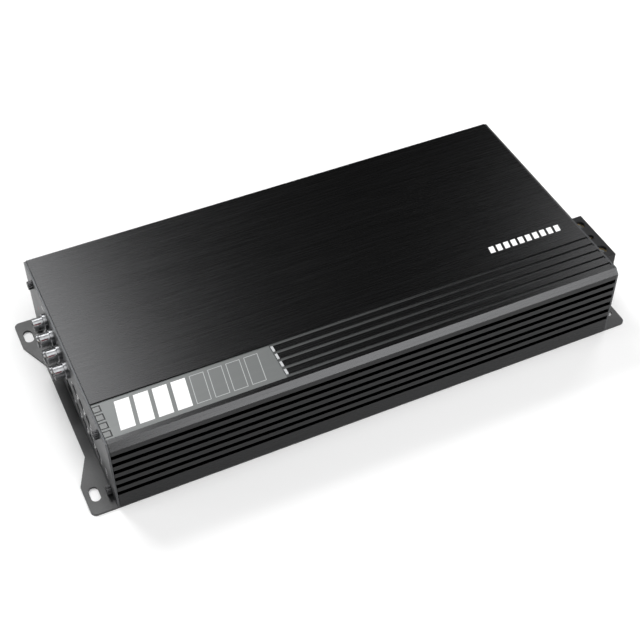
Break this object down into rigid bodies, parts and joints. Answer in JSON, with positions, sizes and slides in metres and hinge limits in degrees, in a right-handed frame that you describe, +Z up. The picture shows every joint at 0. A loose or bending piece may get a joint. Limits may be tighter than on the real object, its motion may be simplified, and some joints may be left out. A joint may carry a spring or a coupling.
{
  "type": "car amplifier",
  "caption": "Low, wide car audio amplifier with a finned black aluminium body, signal jacks and control knobs at one end, screw terminals at the other and a slotted base plate.",
  "frame": {"origin": "centre of the footprint, on the mounting surface", "axes": "+X runs along the length towards the power terminals, +Y runs from the badge side to the back, +Z is up"},
  "size_m": [0.355, 0.164, 0.0535],
  "materials": {
    "anodised_body": "black anodised, brushed along the length",
    "anodised_plate": "black anodised, fine satin",
    "coated_steel": "satin black powder coat",
    "badge_metal": "dark grey satin with white printing",
    "smoked_acrylic": "polished smoked acrylic",
    "led_lens": "clear epoxy",
    "black_oxide_steel": "black oxide, knurled",
    "bright_steel": "zinc plated",
    "plated_shell": "polished nickel plate",
    "gold_contact": "gold flash",
    "terminal_brass": "tin plated brass",
    "red_insulator": "moulded red plastic",
    "white_insulator": "moulded white plastic",
    "knob_grey": "light grey nylon",
    "black_nylon": "fine moulded grain",
    "pot_blue": "moulded blue body",
    "circuit_board": "green solder mask over glass fibre",
    "insulating_paper": "varnished fibre paper",
    "ferrite": "sintered, matt",
    "copper_winding": "enamelled copper wire",
    "capacitor_sleeve": "shrunk sleeve with bare top",
    "transistor_case": "moulded epoxy on a tinned tab",
    "silicone_pad": "glass-filled silicone",
    "mill_aluminium": "mill finish",
    "tinned_steel": "bright tinned sheet"
  },
  "bodies": {
    "amplifier_case": {"heatsink_body": "anodised_body", "left_end_plate": "anodised_plate", "right_end_plate": "anodised_plate", "base_plate": "coated_steel", "badge_panel": "badge_metal", "status_windows": "smoked_acrylic", "status_leds": "led_lens", "status_board": "circuit_board", "end_plate_screws": "black_oxide_steel", "base_screws": "black_oxide_steel", "insulating_sheet": "insulating_paper", "main_board": "circuit_board", "board_standoffs": "terminal_brass", "board_screws": "bright_steel", "control_board": "circuit_board", "board_header": "black_nylon", "rca_jack_block": "black_nylon", "rca_shells": "plated_shell", "rca_red_insulators": "red_insulator", "rca_white_insulators": "white_insulator", "rca_contacts": "gold_contact", "level_port": "black_nylon", "level_port_contacts": "gold_contact", "control_pot_bodies": "pot_blue", "power_terminal_housing": "black_nylon", "power_terminal_contacts": "terminal_brass", "speaker_terminal_housing": "black_nylon", "speaker_terminal_contacts": "terminal_brass", "speaker_clamp_screws": "bright_steel", "transformer_core": "ferrite", "transformer_winding": "copper_winding", "inductor_cores": "ferrite", "inductor_windings": "copper_winding", "input_capacitors": "capacitor_sleeve", "rail_capacitors": "capacitor_sleeve", "front_transistors": "transistor_case", "rear_transistors": "transistor_case", "front_thermal_strip": "silicone_pad", "rear_thermal_strip": "silicone_pad", "front_clamp_bar": "mill_aluminium", "rear_clamp_bar": "mill_aluminium", "clamp_bar_screws": "bright_steel", "signal_chips": "transistor_case", "processor_cover": "tinned_steel"},
    "front_gain_control": {"front_gain_knob": "knob_grey"},
    "rear_gain_control": {"rear_gain_knob": "knob_grey"},
    "sub_gain_control": {"sub_gain_knob": "knob_grey"},
    "front_filter_control": {"front_filter_knob": "knob_grey"},
    "rear_filter_control": {"rear_filter_knob": "knob_grey"},
    "sub_filter_control": {"sub_filter_knob": "knob_grey"},
    "bass_level_control": {"bass_level_knob": "knob_grey"},
    "supply_pad": {"supply_clamp_pad": "terminal_brass"},
    "supply_screw": {"supply_clamp_screw": "bright_steel"},
    "remote_pad": {"remote_clamp_pad": "terminal_brass"},
    "remote_screw": {"remote_clamp_screw": "bright_steel"},
    "ground_pad": {"ground_clamp_pad": "terminal_brass"},
    "ground_screw": {"ground_clamp_screw": "bright_steel"}
  },
  "joints": [
    {"name": "front_gain_turn", "type": "hinge", "parent": "amplifier_case", "child": "front_gain_control", "pos_m": [-0.1625, -0.0142, 0.031], "axis": [1, 0, 0], "range_deg": [-150, 150]},
    {"name": "rear_gain_turn", "type": "hinge", "parent": "amplifier_case", "child": "rear_gain_control", "pos_m": [-0.1625, -0.0267, 0.031], "axis": [1, 0, 0], "range_deg": [-150, 150]},
    {"name": "sub_gain_turn", "type": "hinge", "parent": "amplifier_case", "child": "sub_gain_control", "pos_m": [-0.1625, -0.0392, 0.031], "axis": [1, 0, 0], "range_deg": [-150, 150]},
    {"name": "front_filter_turn", "type": "hinge", "parent": "amplifier_case", "child": "front_filter_control", "pos_m": [-0.1625, -0.0142, 0.0145], "axis": [1, 0, 0], "range_deg": [-150, 150]},
    {"name": "rear_filter_turn", "type": "hinge", "parent": "amplifier_case", "child": "rear_filter_control", "pos_m": [-0.1625, -0.0267, 0.0145], "axis": [1, 0, 0], "range_deg": [-150, 150]},
    {"name": "sub_filter_turn", "type": "hinge", "parent": "amplifier_case", "child": "sub_filter_control", "pos_m": [-0.1625, -0.0392, 0.0145], "axis": [1, 0, 0], "range_deg": [-150, 150]},
    {"name": "bass_level_turn", "type": "hinge", "parent": "amplifier_case", "child": "bass_level_control", "pos_m": [-0.1625, -0.0517, 0.0145], "axis": [1, 0, 0], "range_deg": [-150, 150]},
    {"name": "supply_clamp_travel", "type": "slide", "parent": "amplifier_case", "child": "supply_pad", "axis": [0, 0, -1], "range_m": [0, 0.005]},
    {"name": "supply_screw_turn", "type": "hinge", "parent": "supply_pad", "child": "supply_screw", "pos_m": [0.1701, -0.02895, 0.04], "axis": [0, 0, -1], "range_deg": [0, 1800]},
    {"name": "remote_clamp_travel", "type": "slide", "parent": "amplifier_case", "child": "remote_pad", "axis": [0, 0, -1], "range_m": [0, 0.0048]},
    {"name": "remote_screw_turn", "type": "hinge", "parent": "remote_pad", "child": "remote_screw", "pos_m": [0.1701, -0.04145, 0.04], "axis": [0, 0, -1], "range_deg": [0, 2880]},
    {"name": "ground_clamp_travel", "type": "slide", "parent": "amplifier_case", "child": "ground_pad", "axis": [0, 0, -1], "range_m": [0, 0.005]},
    {"name": "ground_screw_turn", "type": "hinge", "parent": "ground_pad", "child": "ground_screw", "pos_m": [0.1701, -0.05395, 0.04], "axis": [0, 0, -1], "range_deg": [0, 1800]}
  ],
  "couplings": [
    {"joint": "supply_screw_turn", "follows": "supply_clamp_travel", "rad_per_m": 6283.2},
    {"joint": "remote_screw_turn", "follows": "remote_clamp_travel", "rad_per_m": 10472},
    {"joint": "ground_screw_turn", "follows": "ground_clamp_travel", "rad_per_m": 6283.2}
  ]
}
